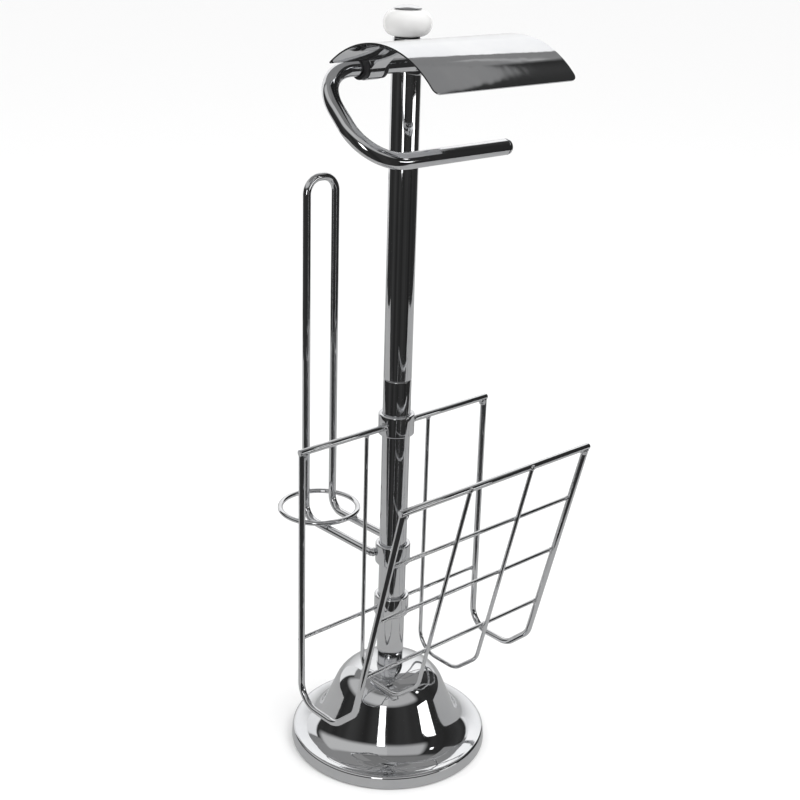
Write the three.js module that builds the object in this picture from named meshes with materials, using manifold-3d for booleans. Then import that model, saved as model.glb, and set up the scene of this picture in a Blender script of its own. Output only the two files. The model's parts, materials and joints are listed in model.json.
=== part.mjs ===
// A free-standing toilet-roll stand in chromed steel: a weighted bell base, a two-piece pole with a
// ceramic knob, a bent arm for the roll in use with a hinged hood above it, a wire loop for spare rolls
// and a wire magazine rack.
// Millimetres. +Z is up, the origin is the centre of the footprint on the floor, -Y is the magazine
// side, the roll arm runs along X, and the pole stands on the Z axis.
import * as THREE from "three";
import { mergeVertices } from "three/addons/utils/BufferGeometryUtils.js";
import Module from "manifold-3d";

const wasm = await Module();
wasm.setup();

// ---- Driving dimensions -------------------------------------------------------------------------

const GAP = 0.3; // clearance between pieces that touch

const BASE_RADIUS = 76;
const BELL_TOP_Z = 65.5;
const SHELL_WALL = 1.2;
const PAD_THICKNESS = 2;
const BOLT_RADIUS = 3;

const POLE_RADIUS = 10.25;
const POLE_WALL = 1.2;
const POLE_JOINT_Z = 300;
const POLE_TOP_Z = 536.5;

const KNOB_RADIUS = 16.4;
const KNOB_BOTTOM_Z = 540.2;
const KNOB_TOP_Z = 557.5;
const KNOB_SCREW_RADIUS = 2.5;

const ARM_RADIUS = 5.3;
const ARM_WALL = 0.9;
const ARM_UPPER = { y: -19, z: 525.4 }; // axis of the leg clamped to the pole, and of the hood's hinge
const ARM_LOWER = { y: -72.8, z: 475.8 }; // axis of the leg that the roll hangs on
const ARM_BEND_RADIUS = 30.3;
const ARM_LEFT_X = -94.5;
const ARM_UPPER_END_X = 26;
const ARM_LOWER_END_X = 22;

const HOOD_LEFT_X = -92.2;
const HOOD_RIGHT_X = 28.5;
const HOOD_SHEET = 1;
const HOOD_RADIUS = 68;
const HOOD_CENTRE = { y: -73.9, z: 479.4 }; // centre of the arc that the hood's sheet is rolled to
const HOOD_BACK_Y = -31;
const HOOD_FRONT_Y = -125;
const HOOD_CORNER = 4.5;
const CLIP_WIDTH = 12;
const CLIP_XS = { left: -49, right: 19 };
const CLIP_BORE = 6.6;
const CLIP_OUTER = 8;
const CLIP_FRONT_Y = -54;
const STOP_COLLAR = { radius: 7.6, halfLength: 1.75 };

const LOOP_WIRE_RADIUS = 3;
const LOOP_LEG_X = 13.6;
const LOOP_Y = 88.4;
const LOOP_TOP_Z = 435;
const LOOP_ARM_Z = 160.7;
const REST_WIRE_RADIUS = 2;
const REST_RING_RADIUS = 31;

const FRAME_WIRE_RADIUS = 2.4;
const GRID_WIRE_RADIUS = 1.5;
const RACK_HALF_WIDTH = 89.3;
const RACK_INNER_X = 30.3;
const RACK_FRONT_TOP = { y: -106.1, z: 257.9 };
const RACK_FRONT_FOOT = { y: -62.3, z: 85.5 };
const RACK_FLOOR = { y: -41.2, z: 66.5 };
const RACK_BACK_Y = -2;
const RACK_BACK_TOP_Z = 265.6;
const RACK_FRONT_WIRE_ZS = { upper: 213.2, middle: 166.2, lower: 117.2 };
const RACK_TOP_BAR_ENDS = [-92.4, 91.4];

const COLLAR_RADIUS = 13.2;
const COLLAR_HEIGHT = 16;
const SET_SCREW_RADIUS = 2;
const BRACKET_SCREW_RADIUS = 2.5;
const BRACKET_HALF_WIDTH = 9;
const BRACKET_RADIUS = 8.2; // of its nose round the arm

// ---- Materials ----------------------------------------------------------------------------------

const finish = (color, roughness, metalness) => () =>
  new THREE.MeshStandardMaterial({ color, roughness, metalness });

const chrome = finish(0xc9ccd0, 0.08, 1);
const zincSteel = finish(0x9ea3a6, 0.4, 0.9);
const castIron = finish(0x3a3b3c, 0.75, 0.5);
const blackNylon = finish(0x161617, 0.45, 0);
const rubber = finish(0x1c1c1d, 0.85, 0);
const ceramic = finish(0xf4f4f1, 0.12, 0);

// ---- Solids -------------------------------------------------------------------------------------

/** A closed three.js geometry as a manifold-3d solid with its faces pointing out. */
function solid(geometry) {
  const bare = geometry.clone();
  bare.deleteAttribute("normal");
  bare.deleteAttribute("uv");
  const merged = mergeVertices(bare, 1e-4);
  const index = [...merged.index.array];
  const faces = [];
  for (let i = 0; i < index.length; i += 3) {
    const [a, b, c] = index.slice(i, i + 3);
    if (a !== b && b !== c && c !== a) faces.push([a, b, c]);
  }
  const vertProperties = Float32Array.from(merged.attributes.position.array);
  const build = (order) => {
    const triVerts = Uint32Array.from(faces.flatMap(order));
    return new wasm.Manifold(new wasm.Mesh({ numProp: 3, vertProperties, triVerts }));
  };
  const made = build((face) => face);
  return made.volume() > 0 ? made : build(([a, b, c]) => [a, c, b]);
}

/** A manifold-3d solid as a three.js geometry. */
function geometryOf(made) {
  const mesh = made.getMesh();
  const geometry = new THREE.BufferGeometry();
  geometry.setAttribute("position", new THREE.BufferAttribute(Float32Array.from(mesh.vertProperties), 3));
  geometry.setIndex(new THREE.BufferAttribute(Uint32Array.from(mesh.triVerts), 1));
  geometry.computeVertexNormals();
  return geometry;
}

/** The solid of [radius, z] points turned about the Z axis; they close on the axis or on themselves. */
function turned(profile, segments) {
  const points = profile.map(([radius, z]) => new THREE.Vector2(radius, z));
  return solid(new THREE.LatheGeometry(points, segments).rotateX(Math.PI / 2));
}

/** A plain cylinder about the Z axis. */
const pin = (radius, bottom, top, segments = 20) =>
  turned([[0, bottom], [radius, bottom], [radius, top], [0, top]], segments);

/** A sleeve about the Z axis. */
const sleeve = (inner, outer, bottom, top, segments = 20) =>
  turned([[inner, bottom], [outer, bottom], [outer, top], [inner, top], [inner, bottom]], segments);

/** A solid turned from standing on the Z axis to lying along X, or along Y. */
const alongX = (made) => made.rotate([0, 90, 0]);
const alongY = (made) => made.rotate([-90, 0, 0]);

/** A flat outline in the Y-Z plane, extruded along X and centred on x. */
function slabInYZ(shape, x, width, curveSegments) {
  const settings = { depth: width, bevelEnabled: false, curveSegments };
  const slab = new THREE.ExtrudeGeometry(shape, settings);
  // The shape's own x and y become Y and Z, and the depth becomes X.
  const upright = new THREE.Matrix4().set(0, 0, 1, 0, 1, 0, 0, 0, 0, 1, 0, 0, 0, 0, 0, 1);
  slab.applyMatrix4(upright).translate(x - width / 2, 0, 0);
  return solid(slab);
}

/** The centre line of a wire or tube: straight runs between corners rounded to the bend radius. */
class BentPath extends THREE.Curve {
  constructor(corners, bendRadius, arcSteps = 5) {
    super();
    const heading = (i) => corners[i + 1].clone().sub(corners[i]).normalize();
    this.stations = [{ point: corners[0], tangent: heading(0) }];
    for (let i = 1; i < corners.length - 1; i++) {
      const before = heading(i - 1);
      const turn = before.angleTo(heading(i));
      const axis = before.clone().cross(heading(i)).normalize();
      const inward = axis.clone().cross(before);
      const start = corners[i].clone().addScaledVector(before, -bendRadius * Math.tan(turn / 2));
      const centre = start.clone().addScaledVector(inward, bendRadius);
      for (let step = 0; step <= arcSteps; step++) {
        const angle = (turn * step) / arcSteps;
        const point = start.clone().sub(centre).applyAxisAngle(axis, angle).add(centre);
        this.stations.push({ point, tangent: before.clone().applyAxisAngle(axis, angle) });
      }
    }
    this.stations.push({ point: corners.at(-1), tangent: heading(corners.length - 2) });
  }

  get steps() {
    return this.stations.length - 1;
  }

  station(u) {
    return this.stations[Math.round(u * this.steps)];
  }

  getPointAt(u) {
    return this.station(u).point.clone();
  }

  getTangentAt(u) {
    return this.station(u).tangent.clone();
  }
}

/** A round bar along a path, or a round tube where a bore radius is given. */
function bar(path, radius, sides = 12, bore = 0) {
  const section = new THREE.Shape().absarc(0, 0, radius, 0, 2 * Math.PI, false);
  if (bore > 0) section.holes.push(new THREE.Path().absarc(0, 0, bore, 0, 2 * Math.PI, true));
  const settings = { steps: path.steps, curveSegments: sides / 2, extrudePath: path };
  return solid(new THREE.ExtrudeGeometry(section, settings));
}

/** A straight round bar between two points. */
const straightBar = (from, to, radius, sides) => bar(new BentPath([from, to], 0), radius, sides);

const vec = (x, y, z) => new THREE.Vector3(x, y, z);

// ---- Assembly -----------------------------------------------------------------------------------

const stand = new THREE.Group();

function add(name, made, material, position = [0, 0, 0]) {
  const mesh = new THREE.Mesh(geometryOf(made), material());
  mesh.name = name;
  mesh.position.set(...position);
  stand.add(mesh);
}

// ---- Base ---------------------------------------------------------------------------------------

const RIM_BOTTOM_Z = 0.8; // the chromed rim stays just off the floor; the pad takes the load

/** The outside of the bell from the rim to the edge of its flat top, as [radius, z] points. */
function bellOutline() {
  const outline = new THREE.Path();
  outline.moveTo(BASE_RADIUS - 0.6, RIM_BOTTOM_Z);
  outline.quadraticCurveTo(BASE_RADIUS, RIM_BOTTOM_Z, BASE_RADIUS, 2);
  outline.lineTo(BASE_RADIUS - 0.5, 8.1);
  outline.bezierCurveTo(BASE_RADIUS - 0.7, 9.9, 74.4, 10.8, 72.6, 10.8);
  outline.bezierCurveTo(66, 10.8, 57.5, 13.8, 52.3, 24);
  outline.bezierCurveTo(49.6, 29.5, 45.5, 39, 41.6, 48.4);
  outline.bezierCurveTo(37.3, 57.4, 28, BELL_TOP_Z, 12.5, BELL_TOP_Z);
  return outline.getPoints(4).map(({ x, y }) => [x, y]);
}

/** A profile moved sideways by a distance, to the left of its direction. */
function offsetProfile(profile, distance) {
  return profile.map(([radius, z], i) => {
    const [r0, z0] = profile[Math.max(i - 1, 0)];
    const [r1, z1] = profile[Math.min(i + 1, profile.length - 1)];
    const length = Math.hypot(r1 - r0, z1 - z0);
    return [radius - (distance * (z1 - z0)) / length, z + (distance * (r1 - r0)) / length];
  });
}

function buildBase() {
  const outside = bellOutline();
  const rimTurn = 4; // the first points go round the rim's rolled edge, which has no inside
  const inside = offsetProfile(outside.slice(rimTurn), SHELL_WALL);
  const boltHole = BOLT_RADIUS + GAP;
  const lid = [[boltHole, BELL_TOP_Z], [boltHole, BELL_TOP_Z - SHELL_WALL]];
  const shell = [...outside, ...lid, ...inside.reverse(), outside[0]];
  add("base_shell", turned(shell, 48), chrome);

  const weightBottom = PAD_THICKNESS + GAP;
  const weightTop = 40;
  const cavity = offsetProfile(outside, SHELL_WALL + 2 * GAP);
  const sides = cavity.filter(([radius, z]) => z > weightBottom + 0.5 && z < weightTop - 1 && radius < 73);
  const recess = { radius: 13, z: 10 };
  const weight = [
    [recess.radius, weightBottom],
    [71.5, weightBottom],
    ...sides,
    [38, weightTop],
    [boltHole, weightTop],
    [boltHole, recess.z],
    [recess.radius, recess.z],
    [recess.radius, weightBottom],
  ];
  add("base_weight", turned(weight, 32), castIron);
  add("base_pad", pin(72, 0, PAD_THICKNESS, 40), rubber);

  const washerTop = recess.z - GAP;
  add("base_washer", sleeve(boltHole, 9, washerTop - 1.5, washerTop, 24), zincSteel);
  const headTop = washerTop - 1.5 - GAP;
  const head = pin(5.7, headTop - 4, headTop, 6);
  add("base_bolt", head.add(pin(BOLT_RADIUS, headTop - 1, BELL_TOP_Z + 14, 16)), zincSteel);
}

// ---- Pole and knob ------------------------------------------------------------------------------

const PLUG_RADIUS = POLE_RADIUS - POLE_WALL - GAP;
const STUD_RADIUS = 3;

/** A threaded plug pressed into a tube's end. */
const plug = (bottom, top, bore) => sleeve(bore + GAP, PLUG_RADIUS, bottom, top, 24);

const poleTube = (bottom, top) => sleeve(POLE_RADIUS - POLE_WALL, POLE_RADIUS, bottom, top, 28);

function buildPole() {
  const foot = BELL_TOP_Z + GAP;
  const plugLength = 16;
  add("lower_pole", poleTube(foot, POLE_JOINT_Z - GAP / 2), chrome);
  add("pole_foot_plug", plug(foot + GAP, foot + plugLength, BOLT_RADIUS), zincSteel);
  add("lower_pole_plug", plug(POLE_JOINT_Z - plugLength, POLE_JOINT_Z - GAP, STUD_RADIUS), zincSteel);
  add("pole_joint_stud", pin(STUD_RADIUS, POLE_JOINT_Z - 14, POLE_JOINT_Z + 14, 16), zincSteel);
  add("upper_pole_plug", plug(POLE_JOINT_Z + GAP, POLE_JOINT_Z + plugLength, STUD_RADIUS), zincSteel);

  const reach = POLE_RADIUS + 2;
  const bracketScrewHole = alongY(pin(BRACKET_SCREW_RADIUS + GAP, -reach, reach, 16));
  const upper = poleTube(POLE_JOINT_Z + GAP / 2, POLE_TOP_Z);
  add("upper_pole", upper.subtract(bracketScrewHole.translate([0, 0, ARM_UPPER.z])), chrome);
}

function buildKnob() {
  const bore = KNOB_SCREW_RADIUS + GAP;
  const neckRadius = 9.5;
  const neckTop = KNOB_BOTTOM_Z - 1;
  const topPlug = [
    [bore, POLE_TOP_Z - 7],
    [PLUG_RADIUS, POLE_TOP_Z - 7],
    [PLUG_RADIUS, POLE_TOP_Z + GAP],
    [neckRadius, POLE_TOP_Z + GAP],
    [neckRadius, neckTop],
    [bore, neckTop],
    [bore, POLE_TOP_Z - 7],
  ];
  add("pole_top_plug", turned(topPlug, 24), chrome);
  add("knob_washer", sleeve(bore, 8.6, neckTop + 0.1, KNOB_BOTTOM_Z - 0.1), blackNylon);

  const [bottom, top, middle] = [KNOB_BOTTOM_Z, KNOB_TOP_Z, (KNOB_BOTTOM_Z + KNOB_TOP_Z) / 2];
  const flat = 8; // radius of the flats on which the ball stands and carries its cap
  const shoulder = 13.5;
  const ball = new THREE.Path();
  ball.moveTo(flat, bottom);
  ball.bezierCurveTo(shoulder, bottom, KNOB_RADIUS, bottom + 4, KNOB_RADIUS, middle);
  ball.bezierCurveTo(KNOB_RADIUS, top - 4, shoulder, top, flat, top);
  const ballSide = ball.getPoints(4).map(({ x, y }) => [x, y]);
  add("knob", turned([[bore, bottom], ...ballSide, [bore, top], [bore, bottom]], 32), ceramic);

  const capBottom = KNOB_TOP_Z + GAP;
  const capTop = capBottom + 2.6;
  const capRadius = 9.6;
  const dome = new THREE.Path();
  dome.moveTo(capRadius, capBottom);
  dome.bezierCurveTo(capRadius, capBottom + 1.8, 6, capTop, 0, capTop);
  const domeSide = dome.getPoints(4).map(({ x, y }) => [x, y]);
  const cap = turned([[0, capBottom], ...domeSide], 24);
  add("knob_cap_screw", cap.add(pin(KNOB_SCREW_RADIUS, POLE_TOP_Z - 5, capBottom + 0.5, 16)), chrome);
}

// ---- Roll arm and its bracket -------------------------------------------------------------------

function buildArm() {
  const corners = [
    vec(ARM_UPPER_END_X, ARM_UPPER.y, ARM_UPPER.z),
    vec(ARM_LEFT_X, ARM_UPPER.y, ARM_UPPER.z),
    vec(ARM_LEFT_X, ARM_LOWER.y, ARM_LOWER.z),
    vec(ARM_LOWER_END_X, ARM_LOWER.y, ARM_LOWER.z),
  ];
  const centreLine = new BentPath(corners, ARM_BEND_RADIUS, 9);
  add("roll_arm", bar(centreLine, ARM_RADIUS, 16, ARM_RADIUS - ARM_WALL), chrome);

  // A domed cap with a spigot, standing on Z with its face at z = 0.
  const spigot = ARM_RADIUS - ARM_WALL - GAP;
  const plugged = [[0, -8], [spigot, -8], [spigot, GAP], [ARM_RADIUS, GAP]];
  const dome = [[ARM_RADIUS, 1.4], [4.4, 3.2], [2.5, 4.2], [0, 4.5]];
  const cap = alongX(turned([...plugged, ...dome], 20));
  add("arm_tip_cap", cap, chrome, [ARM_LOWER_END_X, ARM_LOWER.y, ARM_LOWER.z]);
  add("arm_root_cap", cap, chrome, [ARM_UPPER_END_X, ARM_UPPER.y, ARM_UPPER.z]);
}

function buildArmBracket() {
  const { y, z } = ARM_UPPER;
  const outline = new THREE.Shape();
  outline.moveTo(-7.2, z - BRACKET_RADIUS);
  outline.absarc(y, z, BRACKET_RADIUS, -Math.PI / 2, Math.PI / 2, true);
  outline.lineTo(-7.2, z + BRACKET_RADIUS);
  const block = slabInYZ(outline, 0, 2 * BRACKET_HALF_WIDTH, 12);
  const poleSeat = pin(POLE_RADIUS + GAP, z - 20, z + 20, 48);
  const armBore = alongX(pin(ARM_RADIUS + GAP, -20, 20, 28)).translate([0, y, z]);
  const screwHole = alongY(pin(BRACKET_SCREW_RADIUS + GAP, y + ARM_RADIUS, 0, 16));
  const setScrewHole = pin(SET_SCREW_RADIUS + GAP, z - 12, z, 16).translate([0, y, 0]);
  const holes = armBore.add(screwHole.translate([0, 0, z])).add(setScrewHole);
  add("arm_bracket", block.subtract(poleSeat).subtract(holes), chrome);

  const setScrewTop = z - ARM_RADIUS - GAP;
  add("bracket_set_screw", pin(SET_SCREW_RADIUS, setScrewTop - 2.8, setScrewTop, 12), zincSteel, [0, y, 0]);

  // The screw passes through both walls of the pole from behind.
  const headSeat = POLE_RADIUS + GAP;
  const shank = pin(BRACKET_SCREW_RADIUS, y + ARM_RADIUS + 2 * GAP, headSeat + 1, 16);
  const head = turned([[0, 0], [4.6, 0], [4.4, 1.4], [3, 2.6], [0, 3]], 24);
  add("bracket_screw", alongY(shank.add(head.translate([0, 0, headSeat]))), chrome, [0, 0, z]);
}

// ---- Hood ---------------------------------------------------------------------------------------

/** The angle, about the hood's centre, of the point above y on a circle of the given radius. */
const arcAngle = (y, radius) => Math.acos((y - HOOD_CENTRE.y) / radius);

/** A strip of rolled sheet in the Y-Z plane, between two y and under a circle of the given radius. */
function rolledStrip(outer, thickness, backY, frontY) {
  const { y, z } = HOOD_CENTRE;
  const back = arcAngle(backY, outer);
  const front = arcAngle(frontY, outer);
  const strip = new THREE.Shape();
  strip.absarc(y, z, outer, back, front, false);
  strip.absarc(y, z, outer - thickness, front, back, true);
  return strip;
}

/** A prism along Z in the X-Y plane's outline, used to trim the hood's corners in plan. */
function planPrism(shape, bottom, height) {
  const settings = { depth: height, bevelEnabled: false, curveSegments: 5 };
  return solid(new THREE.ExtrudeGeometry(shape, settings).translate(0, 0, bottom));
}

function buildHood() {
  const width = HOOD_RIGHT_X - HOOD_LEFT_X;
  const section = rolledStrip(HOOD_RADIUS, HOOD_SHEET, HOOD_BACK_Y, HOOD_FRONT_Y);
  const sheet = slabInYZ(section, (HOOD_LEFT_X + HOOD_RIGHT_X) / 2, width, 22);

  // The sheet's two front corners are rounded in plan.
  const innerLeft = HOOD_LEFT_X + HOOD_CORNER;
  const innerRight = HOOD_RIGHT_X - HOOD_CORNER;
  const innerFront = HOOD_FRONT_Y + HOOD_CORNER;
  const plan = new THREE.Shape();
  plan.moveTo(innerLeft, HOOD_FRONT_Y);
  plan.absarc(innerRight, innerFront, HOOD_CORNER, -Math.PI / 2, 0, false);
  plan.lineTo(HOOD_RIGHT_X, HOOD_BACK_Y + 2);
  plan.lineTo(HOOD_LEFT_X, HOOD_BACK_Y + 2);
  plan.absarc(innerLeft, innerFront, HOOD_CORNER, Math.PI, 1.5 * Math.PI, false);
  add("hood", sheet.intersect(planPrism(plan, 500, 60)), chrome);
}

/** A clip: a ring round the arm with a strap that lies under the hood. */
function hingeClip(x) {
  const strapRadius = HOOD_RADIUS - HOOD_SHEET - GAP;
  const strap = rolledStrip(strapRadius, 1.4, ARM_UPPER.y - CLIP_BORE, CLIP_FRONT_Y);
  const ring = alongX(pin(CLIP_OUTER, -CLIP_WIDTH / 2, CLIP_WIDTH / 2));
  const bore = alongX(pin(CLIP_BORE + GAP, -CLIP_WIDTH, CLIP_WIDTH, 28));
  const onArm = [x, ARM_UPPER.y, ARM_UPPER.z];
  return slabInYZ(strap, x, CLIP_WIDTH, 8).add(ring.translate(onArm)).subtract(bore.translate(onArm));
}

function buildHinge() {
  for (const [side, x] of Object.entries(CLIP_XS)) {
    add(`hood_clip_${side}`, hingeClip(x), chrome);
    const bush = alongX(sleeve(ARM_RADIUS + GAP, CLIP_BORE, -CLIP_WIDTH / 2, CLIP_WIDTH / 2));
    add(`hinge_bush_${side}`, bush, blackNylon, [x, ARM_UPPER.y, ARM_UPPER.z]);
  }
  // Collars locked on the arm hold the clips in place along it.
  const { radius, halfLength } = STOP_COLLAR;
  const collar = alongX(sleeve(ARM_RADIUS + GAP / 2, radius, -halfLength, halfLength));
  const reach = CLIP_WIDTH / 2 + halfLength + GAP;
  add("stop_collar_left", collar, blackNylon, [CLIP_XS.left - reach, ARM_UPPER.y, ARM_UPPER.z]);
  add("stop_collar_centre", collar, blackNylon, [CLIP_XS.left + reach, ARM_UPPER.y, ARM_UPPER.z]);
}

// ---- Collars on the pole ------------------------------------------------------------------------

/** A sleeve round the pole, locked by a set screw from behind. */
function buildCollar(name, z) {
  const body = sleeve(POLE_RADIUS + GAP, COLLAR_RADIUS, z - COLLAR_HEIGHT / 2, z + COLLAR_HEIGHT / 2, 28);
  const hole = alongY(pin(SET_SCREW_RADIUS + GAP, 0, 2 * COLLAR_RADIUS, 12)).translate([0, 0, z]);
  add(name, body.subtract(hole), chrome);
  const screw = alongY(pin(SET_SCREW_RADIUS, POLE_RADIUS + GAP, COLLAR_RADIUS + 0.6, 12));
  add(`${name}_screw`, screw, zincSteel, [0, 0, z]);
}

// ---- Spare-roll loop ----------------------------------------------------------------------------

function buildSpareRollLoop() {
  const armEndY = 8.4; // the two ends are welded to the flanks of the collar
  const legBend = 12;
  const topZ = LOOP_TOP_Z - LOOP_WIRE_RADIUS;
  const corners = [
    vec(-LOOP_LEG_X, armEndY, LOOP_ARM_Z),
    vec(-LOOP_LEG_X, LOOP_Y, LOOP_ARM_Z),
    vec(-LOOP_LEG_X, LOOP_Y, topZ),
    vec(LOOP_LEG_X, LOOP_Y, topZ),
    vec(LOOP_LEG_X, LOOP_Y, LOOP_ARM_Z),
    vec(LOOP_LEG_X, armEndY, LOOP_ARM_Z),
  ];
  add("spare_roll_loop", bar(new BentPath(corners, legBend, 6), LOOP_WIRE_RADIUS, 12), chrome);

  const ringZ = LOOP_ARM_Z + LOOP_WIRE_RADIUS + REST_WIRE_RADIUS + GAP;
  const ring = solid(new THREE.TorusGeometry(REST_RING_RADIUS, REST_WIRE_RADIUS, 8, 36));
  add("spare_roll_rest", ring, chrome, [0, LOOP_Y, ringZ]);
  buildCollar("loop_collar", LOOP_ARM_Z);
}

// ---- Magazine rack ------------------------------------------------------------------------------

const WELD = FRAME_WIRE_RADIUS + GAP; // how far a welded wire end stays from the centre of the bar it meets
const frontSlope = (RACK_FRONT_FOOT.y - RACK_FRONT_TOP.y) / (RACK_FRONT_FOOT.z - RACK_FRONT_TOP.z);

/** The y of the front panel at a height. */
const frontY = (z) => RACK_FRONT_TOP.y + (z - RACK_FRONT_TOP.z) * frontSlope;

/** A wire from the front top bar, down, under the magazines and up to the back bar. */
function rackWire(x, radius, sides, proud) {
  const topZ = RACK_FRONT_TOP.z - WELD;
  const corners = [
    vec(x, frontY(topZ) - proud, topZ),
    vec(x, RACK_FRONT_FOOT.y - proud, RACK_FRONT_FOOT.z),
    vec(x, RACK_FLOOR.y - proud / 2, RACK_FLOOR.z),
    vec(x, RACK_BACK_Y, RACK_FLOOR.z),
    vec(x, RACK_BACK_Y, RACK_BACK_TOP_Z - WELD),
  ];
  return bar(new BentPath(corners, 17, 5), radius, sides);
}

function buildRackFront() {
  const [left, right] = RACK_TOP_BAR_ENDS;
  const { y, z } = RACK_FRONT_TOP;
  add("rack_front_top_bar", straightBar(vec(left, y, z), vec(right, y, z), FRAME_WIRE_RADIUS, 14), chrome);

  // The cross wires lie behind the inner wires and end on the flanks of the side wires.
  const reach = RACK_HALF_WIDTH - WELD;
  const behind = GRID_WIRE_RADIUS + GAP / 2;
  for (const [level, height] of Object.entries(RACK_FRONT_WIRE_ZS)) {
    const wireY = frontY(height) + behind;
    const wire = straightBar(vec(-reach, wireY, height), vec(reach, wireY, height), GRID_WIRE_RADIUS, 10);
    add(`rack_front_wire_${level}`, wire, chrome);
  }
}

function buildRackBack() {
  const backWireY = RACK_BACK_Y + 2 * GRID_WIRE_RADIUS + GAP;
  for (const [side, sign] of [["left", -1], ["right", 1]]) {
    const barFrom = vec(sign * (COLLAR_RADIUS + GAP), RACK_BACK_Y, RACK_BACK_TOP_Z);
    const barTo = vec(sign * (RACK_HALF_WIDTH + FRAME_WIRE_RADIUS), RACK_BACK_Y, RACK_BACK_TOP_Z);
    add(`rack_back_bar_${side}`, straightBar(barFrom, barTo, FRAME_WIRE_RADIUS, 14), chrome);

    const wireFrom = vec(sign * (COLLAR_RADIUS + GAP), backWireY, RACK_FRONT_WIRE_ZS.lower);
    const wireTo = vec(sign * (RACK_HALF_WIDTH - WELD), backWireY, RACK_FRONT_WIRE_ZS.lower);
    add(`rack_back_wire_${side}`, straightBar(wireFrom, wireTo, GRID_WIRE_RADIUS, 10), chrome);
  }
}

function buildRack() {
  const proud = GRID_WIRE_RADIUS + GAP / 2;
  for (const [side, sign] of [["left", -1], ["right", 1]]) {
    add(`rack_side_wire_${side}`, rackWire(sign * RACK_HALF_WIDTH, FRAME_WIRE_RADIUS, 12, 0), chrome);
    add(`rack_inner_wire_${side}`, rackWire(sign * RACK_INNER_X, GRID_WIRE_RADIUS, 10, proud), chrome);
  }
  buildRackFront();
  buildRackBack();
  buildCollar("rack_upper_collar", RACK_BACK_TOP_Z);
  buildCollar("rack_lower_collar", RACK_FRONT_WIRE_ZS.lower);
}

buildBase();
buildPole();
buildKnob();
buildArm();
buildArmBracket();
buildHood();
buildHinge();
buildSpareRollLoop();
buildRack();

export default stand;
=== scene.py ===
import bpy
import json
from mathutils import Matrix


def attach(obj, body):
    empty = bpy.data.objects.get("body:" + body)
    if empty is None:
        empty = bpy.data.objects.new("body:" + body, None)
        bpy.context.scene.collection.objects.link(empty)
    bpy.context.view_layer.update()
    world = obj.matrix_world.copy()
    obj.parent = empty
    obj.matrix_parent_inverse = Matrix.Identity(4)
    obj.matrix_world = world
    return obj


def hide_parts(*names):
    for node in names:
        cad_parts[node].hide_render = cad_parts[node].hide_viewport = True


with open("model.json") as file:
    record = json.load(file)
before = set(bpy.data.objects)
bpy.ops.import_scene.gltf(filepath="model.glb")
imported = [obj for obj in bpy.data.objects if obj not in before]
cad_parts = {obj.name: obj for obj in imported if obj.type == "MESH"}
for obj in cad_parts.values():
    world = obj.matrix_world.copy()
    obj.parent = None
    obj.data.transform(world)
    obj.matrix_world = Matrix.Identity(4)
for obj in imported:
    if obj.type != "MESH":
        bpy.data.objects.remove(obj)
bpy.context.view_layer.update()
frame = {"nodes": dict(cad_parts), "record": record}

import json
import math

import bmesh
import bpy
from mathutils import Matrix, Vector

# The finished surfaces of a chromed toilet roll stand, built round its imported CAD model.
# Lengths are in millimetres up to the moment a mesh is made, which is in metres.

MM = 0.001
MICRON = 1e-6
UP = Vector((0, 0, 1))
SHARP_ANGLE = math.radians(40)
scene = bpy.context.scene

# ---- Driving dimensions, as in the CAD model ----------------------------------------------------

GAP = 0.3
BASE_RADIUS = 76
BELL_TOP_Z = 65.5
SHELL_WALL = 1.2
RIM_BOTTOM_Z = 0.8
BOLT_HOLE = 3.3
PAD_RADIUS = 72
PAD_THICKNESS = 2

POLE_RADIUS = 10.25
POLE_WALL = 1.2
POLE_JOINT_Z = 300
POLE_TOP_Z = 536.5

KNOB_RADIUS = 16.4
KNOB_BOTTOM_Z = 540.2
KNOB_TOP_Z = 557.5
KNOB_BORE = 2.8
KNOB_SCREW_RADIUS = 2.5
NECK_RADIUS = 9.5
CAP_HEIGHT = 2.6

ARM_RADIUS = 5.3
ARM_WALL = 1.2
ARM_UPPER = Vector((0, -19, 525.4))
ARM_LOWER = Vector((0, -72.8, 475.8))
ARM_BEND_RADIUS = 30.3
ARM_LEFT_X = -94.5
ARM_UPPER_END_X = 26
ARM_LOWER_END_X = 22

HOOD_LEFT_X = -92.2
HOOD_RIGHT_X = 28.5
HOOD_SHEET = 1
HOOD_RADIUS = 68
HOOD_CENTRE = Vector((0, -73.9, 479.4))
HOOD_BACK_Y = -31
HOOD_FRONT_Y = -125
HOOD_CORNER = 4.5
CLIP_WIDTH = 12
CLIP_XS = {"left": -49, "right": 19}
CLIP_BORE = 6.6
CLIP_OUTER = 8
CLIP_FRONT_Y = -54
CLIP_SHEET = 1.4
STOP_COLLAR_RADIUS = 7.6
STOP_COLLAR_HALF = 1.75

LOOP_WIRE = 3
LOOP_LEG_X = 13.6
LOOP_Y = 88.4
LOOP_TOP_Z = 435
LOOP_ARM_Z = 160.7
LOOP_BEND_RADIUS = 12
REST_WIRE = 2
REST_RING = 31

FRAME_WIRE = 2.4
GRID_WIRE = 1.5
RACK_HALF_WIDTH = 89.3
RACK_INNER_X = 30.3
RACK_FRONT_TOP = Vector((0, -106.1, 257.9))
RACK_FRONT_FOOT = Vector((0, -62.3, 85.5))
RACK_FLOOR = Vector((0, -41.2, 66.5))
RACK_BACK_Y = -2
RACK_BACK_TOP_Z = 265.6
RACK_FRONT_WIRE_ZS = {"upper": 213.2, "middle": 166.2, "lower": 117.2}
RACK_BACK_WIRE_Z = RACK_FRONT_WIRE_ZS["lower"]
RACK_TOP_BAR_ENDS = (-92.4, 91.4)
RACK_BEND_RADIUS = 17
FRAME_SIDES = 32
GRID_SIDES = 24
GRID_SPOT = 1.5

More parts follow.
